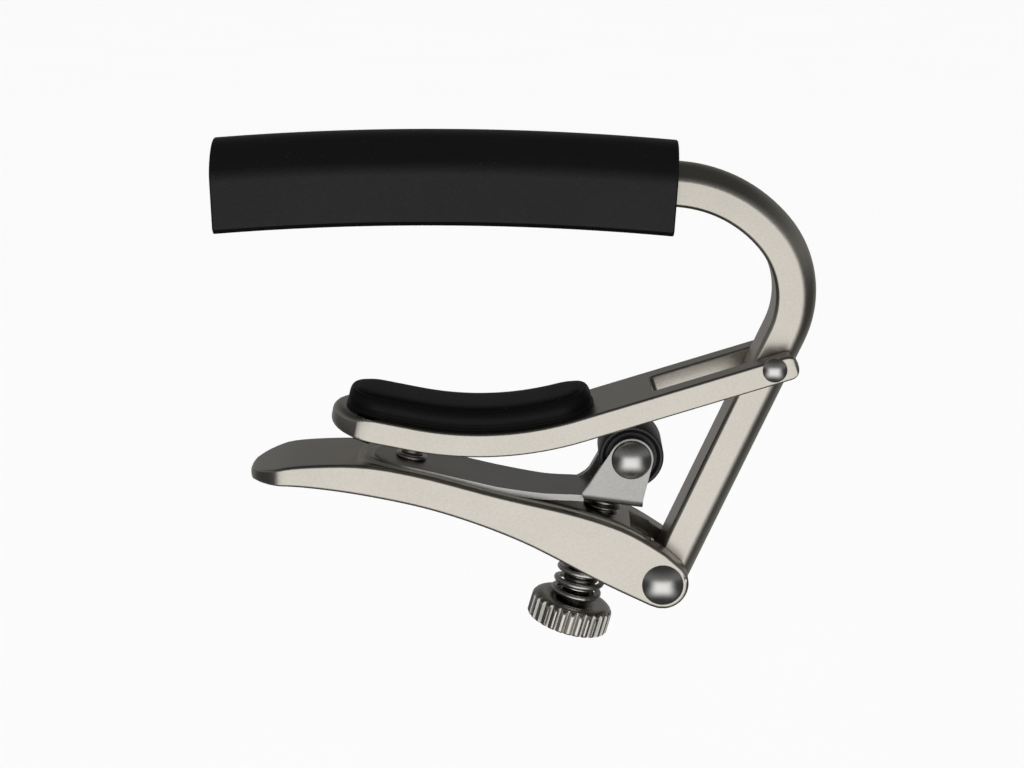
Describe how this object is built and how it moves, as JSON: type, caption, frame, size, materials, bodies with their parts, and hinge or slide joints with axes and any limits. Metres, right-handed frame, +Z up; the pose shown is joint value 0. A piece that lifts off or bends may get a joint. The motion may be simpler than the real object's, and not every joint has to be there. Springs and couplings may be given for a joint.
{
  "type": "guitar capo",
  "caption": "Lever-operated guitar capo: bent bar with a rubber sleeve, padded neck arm, over-centre lever with a roller and a spring-steadied adjusting screw.",
  "frame": {"origin": "crown of the sleeve's underside, at the middle of its depth, where the strings press", "axes": "+X along the sleeve towards the bend of the bar, +Y across the capo, +Z up out of the fretboard"},
  "size_m": [0.0758, 0.0148, 0.0666],
  "materials": {
    "nickel": "satin nickel plate",
    "screw_nickel": "bright nickel plate",
    "rivet_steel": "polished",
    "spring_steel": "fine brushed",
    "sleeve_rubber": "satin black",
    "pad_rubber": "matte black",
    "roller_plastic": "turned acetal"
  },
  "bodies": {
    "fret_bar": {"fret_bar": "nickel", "fret_sleeve": "sleeve_rubber"},
    "neck_arm": {"neck_arm": "nickel", "neck_pad": "pad_rubber", "arm_rivet": "rivet_steel"},
    "lever": {"lever": "nickel", "lever_rivet": "rivet_steel", "bracket_rivet": "rivet_steel"},
    "roller_bracket": {"roller_bracket": "spring_steel", "roller_axle": "rivet_steel"},
    "roller": {"roller": "roller_plastic"},
    "screw_spring": {"screw_spring": "spring_steel"},
    "adjusting_screw": {"adjusting_screw": "screw_nickel"}
  },
  "joints": [
    {"name": "lever_swing", "type": "hinge", "parent": "fret_bar", "child": "lever", "pos_m": [0.02911, 0, -0.04673], "axis": [0, -1, 0], "range_deg": [0, 85]},
    {"name": "arm_swing", "type": "hinge", "parent": "fret_bar", "child": "neck_arm", "pos_m": [0.04265, 0, -0.01817], "axis": [0, -1, 0], "range_deg": [0, 9]},
    {"name": "screw_travel", "type": "slide", "parent": "lever", "child": "screw_spring", "axis": [0.2706, 0, 0.9627], "range_m": [-0.00212, 0], "deforming": ["screw_spring"]},
    {"name": "screw_turn", "type": "hinge", "parent": "screw_spring", "child": "adjusting_screw", "pos_m": [0.02176, 0, -0.03673], "axis": [0.2706, 0, 0.9627], "range_deg": [-720, 0]},
    {"name": "bracket_flex", "type": "hinge", "parent": "lever", "child": "roller_bracket", "pos_m": [-0.00339, 0, -0.03183], "axis": [0, -1, 0], "range_deg": [-5, 0]},
    {"name": "roller_turn", "type": "hinge", "parent": "roller_bracket", "child": "roller", "pos_m": [0.02496, 0, -0.03048], "axis": [0, -1, 0], "continuous": true}
  ],
  "couplings": [
    {"joint": "arm_swing", "follows": "lever_swing", "ratio": 0.1},
    {"joint": "screw_turn", "follows": "screw_travel", "rad_per_m": 5936.8},
    {"joint": "bracket_flex", "follows": "screw_travel", "rad_per_m": 39.159}
  ]
}
